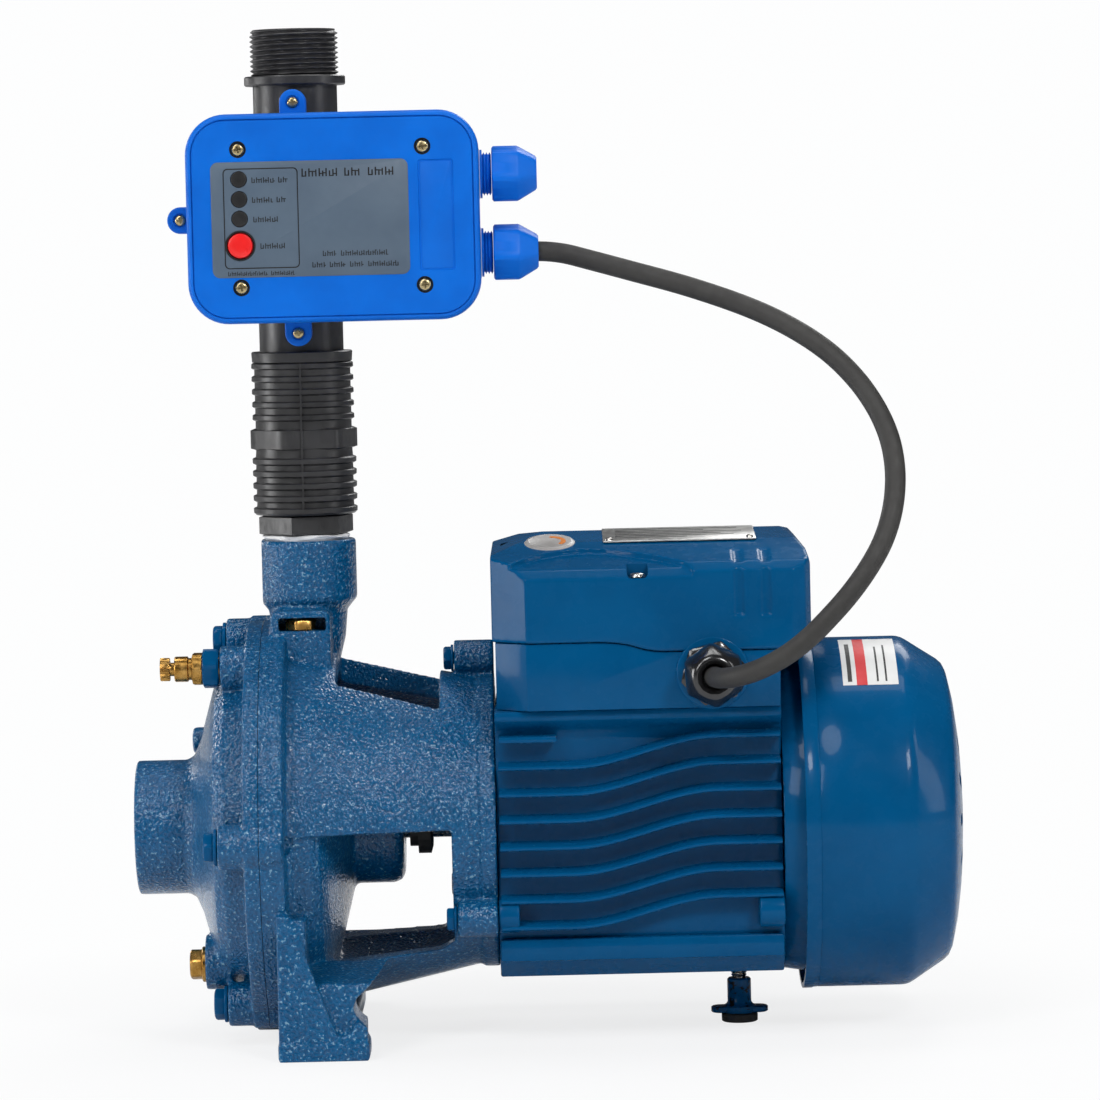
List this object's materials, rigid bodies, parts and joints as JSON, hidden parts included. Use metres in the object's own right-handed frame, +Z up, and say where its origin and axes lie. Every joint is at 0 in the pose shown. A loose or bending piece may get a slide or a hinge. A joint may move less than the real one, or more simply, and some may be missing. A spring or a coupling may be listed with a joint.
{
  "type": "centrifugal water pump",
  "caption": "Close-coupled electric centrifugal water pump with a cast pump end, ribbed discharge union, threaded outlet and automatic flow controller.",
  "frame": {"origin": "on the floor, under the discharge pipe's axis and on the vertical plane of the shaft, at the front foot's bottom face", "axes": "+X along the shaft from the suction port to the fan, +Z up, +Y away from the controller's front panel"},
  "size_m": [0.3937, 0.2463, 0.479],
  "materials": {
    "cast_blue": "dark blue gloss enamel over coarse sand-cast iron",
    "smooth_blue": "smooth dark blue gloss enamel",
    "painted_steel": "steel painted over with the pump's blue enamel",
    "plastic_blue": "bright blue moulded plastic with a fine matte grain",
    "black_plastic": "black glass-filled moulded plastic, satin",
    "black_rubber": "black moulded rubber",
    "cable_rubber": "matte black rubber cable sheath",
    "brass": "turned brass, slightly dull",
    "steel": "machined or zinc-plated steel",
    "lamination_steel": "stacked electrical steel",
    "cast_iron": "bare cast iron",
    "ceramic": "lapped ceramic",
    "copper": "varnished copper windings",
    "grey_label": "grey printed front plate",
    "lens_plastic": "dark translucent lamp lenses, unlit",
    "red_plastic": "glossy red push button",
    "board_green": "green circuit board"
  },
  "bodies": {
    "pump": {"suction_cover": "cast_blue", "pump_body": "cast_blue", "casing_gasket": "black_rubber", "casing_bolt_1": "painted_steel", "casing_bolt_2": "painted_steel", "casing_bolt_3": "painted_steel", "casing_bolt_4": "painted_steel", "casing_bolt_5": "painted_steel", "drain_plug": "brass", "fill_plug": "brass", "bleed_valve_body": "brass", "interstage_diffuser": "cast_iron", "seal_seat": "ceramic", "bearing_front_outer": "steel", "bearing_rear_outer": "steel", "stator_core": "lamination_steel", "winding_front": "copper", "winding_rear": "copper", "motor_frame": "smooth_blue", "motor_bolt_1": "painted_steel", "motor_bolt_2": "painted_steel", "motor_bolt_3": "painted_steel", "rear_end_shield": "smooth_blue", "fan_cover": "smooth_blue", "jack_stud": "steel", "terminal_box_base": "smooth_blue", "terminal_box_lid": "smooth_blue", "lid_screw": "steel", "capacitor": "black_plastic", "box_gland_body": "black_plastic", "box_gland_nut": "black_plastic", "hex_nipple": "black_plastic", "union_coupling": "black_plastic", "flow_body": "black_plastic", "diaphragm": "black_rubber", "controller_base": "plastic_blue", "controller_cover": "plastic_blue", "control_label": "grey_label", "indicator_lens": "lens_plastic", "circuit_board": "board_green", "gland_upper_body": "plastic_blue", "gland_upper_nut": "plastic_blue", "gland_lower_body": "plastic_blue", "gland_lower_nut": "plastic_blue", "control_cable": "cable_rubber"},
    "rotor": {"shaft": "steel", "rotor_core": "lamination_steel", "impeller_first": "brass", "impeller_second": "brass", "impeller_nut": "brass", "seal_rotating_half": "black_rubber", "water_flinger": "black_rubber", "bearing_front_inner": "steel", "bearing_rear_inner": "steel", "cooling_fan": "black_plastic"},
    "bleed_knob": {"bleed_screw": "brass"},
    "button": {"restart_button": "red_plastic"},
    "check_valve": {"flow_valve": "brass"},
    "foot_pad": {"jack_pad": "black_rubber"},
    "foot_sleeve": {"jack_sleeve": "painted_steel"}
  },
  "joints": [
    {"name": "rotor_spin", "type": "hinge", "parent": "pump", "child": "rotor", "pos_m": [0.09, 0, 0.1], "axis": [1, 0, 0], "continuous": true},
    {"name": "bleed_turn", "type": "hinge", "parent": "pump", "child": "bleed_knob", "pos_m": [-0.064, -0.035, 0.1785], "axis": [-1, 0, 0], "range_deg": [0, 540]},
    {"name": "button_press", "type": "slide", "parent": "pump", "child": "button", "axis": [0, 1, 0], "range_m": [0, 0.0015], "stiffness_N_per_m": 300, "springref_m": -0.001},
    {"name": "valve_lift", "type": "slide", "parent": "pump", "child": "check_valve", "axis": [0, 0, 1], "range_m": [0, 0.012], "stiffness_N_per_m": 40, "springref_m": -0.003},
    {"name": "sleeve_turn", "type": "hinge", "parent": "foot_pad", "child": "foot_sleeve", "pos_m": [0.202, 0, 0.01], "axis": [0, 0, 1], "range_deg": [0, 2890]},
    {"name": "foot_slide", "type": "slide", "parent": "pump", "child": "foot_pad", "axis": [0, 0, -1], "range_m": [0, 0.01]}
  ],
  "couplings": [
    {"joint": "sleeve_turn", "follows": "foot_slide", "rad_per_m": 5026.5}
  ]
}
